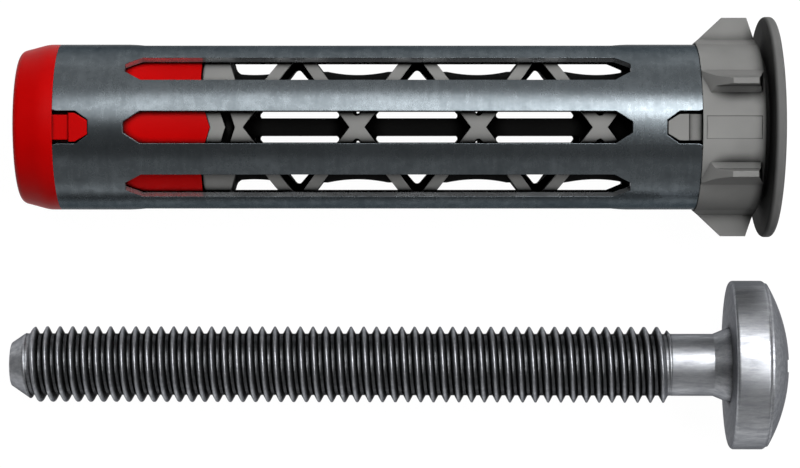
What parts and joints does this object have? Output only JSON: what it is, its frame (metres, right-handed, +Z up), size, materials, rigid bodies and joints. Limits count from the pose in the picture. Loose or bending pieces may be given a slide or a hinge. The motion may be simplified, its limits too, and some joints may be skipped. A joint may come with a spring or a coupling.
{
  "type": "hollow wall anchor",
  "caption": "Slotted steel sleeve on a moulded lattice core with finned collar and flange, red end cap holding a nut, and its pan head machine screw lying beside it.",
  "frame": {"origin": "middle of the floor area that the anchor and its screw cover, on the floor", "axes": "+X from the end cap to the flange and the screw's head, +Y from the screw to the anchor, +Z up from the floor they lie on"},
  "size_m": [0.061, 0.0337, 0.0171],
  "materials": {
    "zinc_steel": "zinc-plated sheet, bluish grey, faintly streaked",
    "grey_moulding": "matt dark grey moulded plastic",
    "red_moulding": "satin red moulded plastic",
    "nut_steel": "bright zinc-plated steel",
    "screw_steel": "dark bluish zinc-plated steel with a polished head"
  },
  "bodies": {
    "root": {"sleeve": "zinc_steel", "core": "grey_moulding", "end_cap": "red_moulding", "nut": "nut_steel", "screw": "screw_steel"}
  },
  "joints": []
}
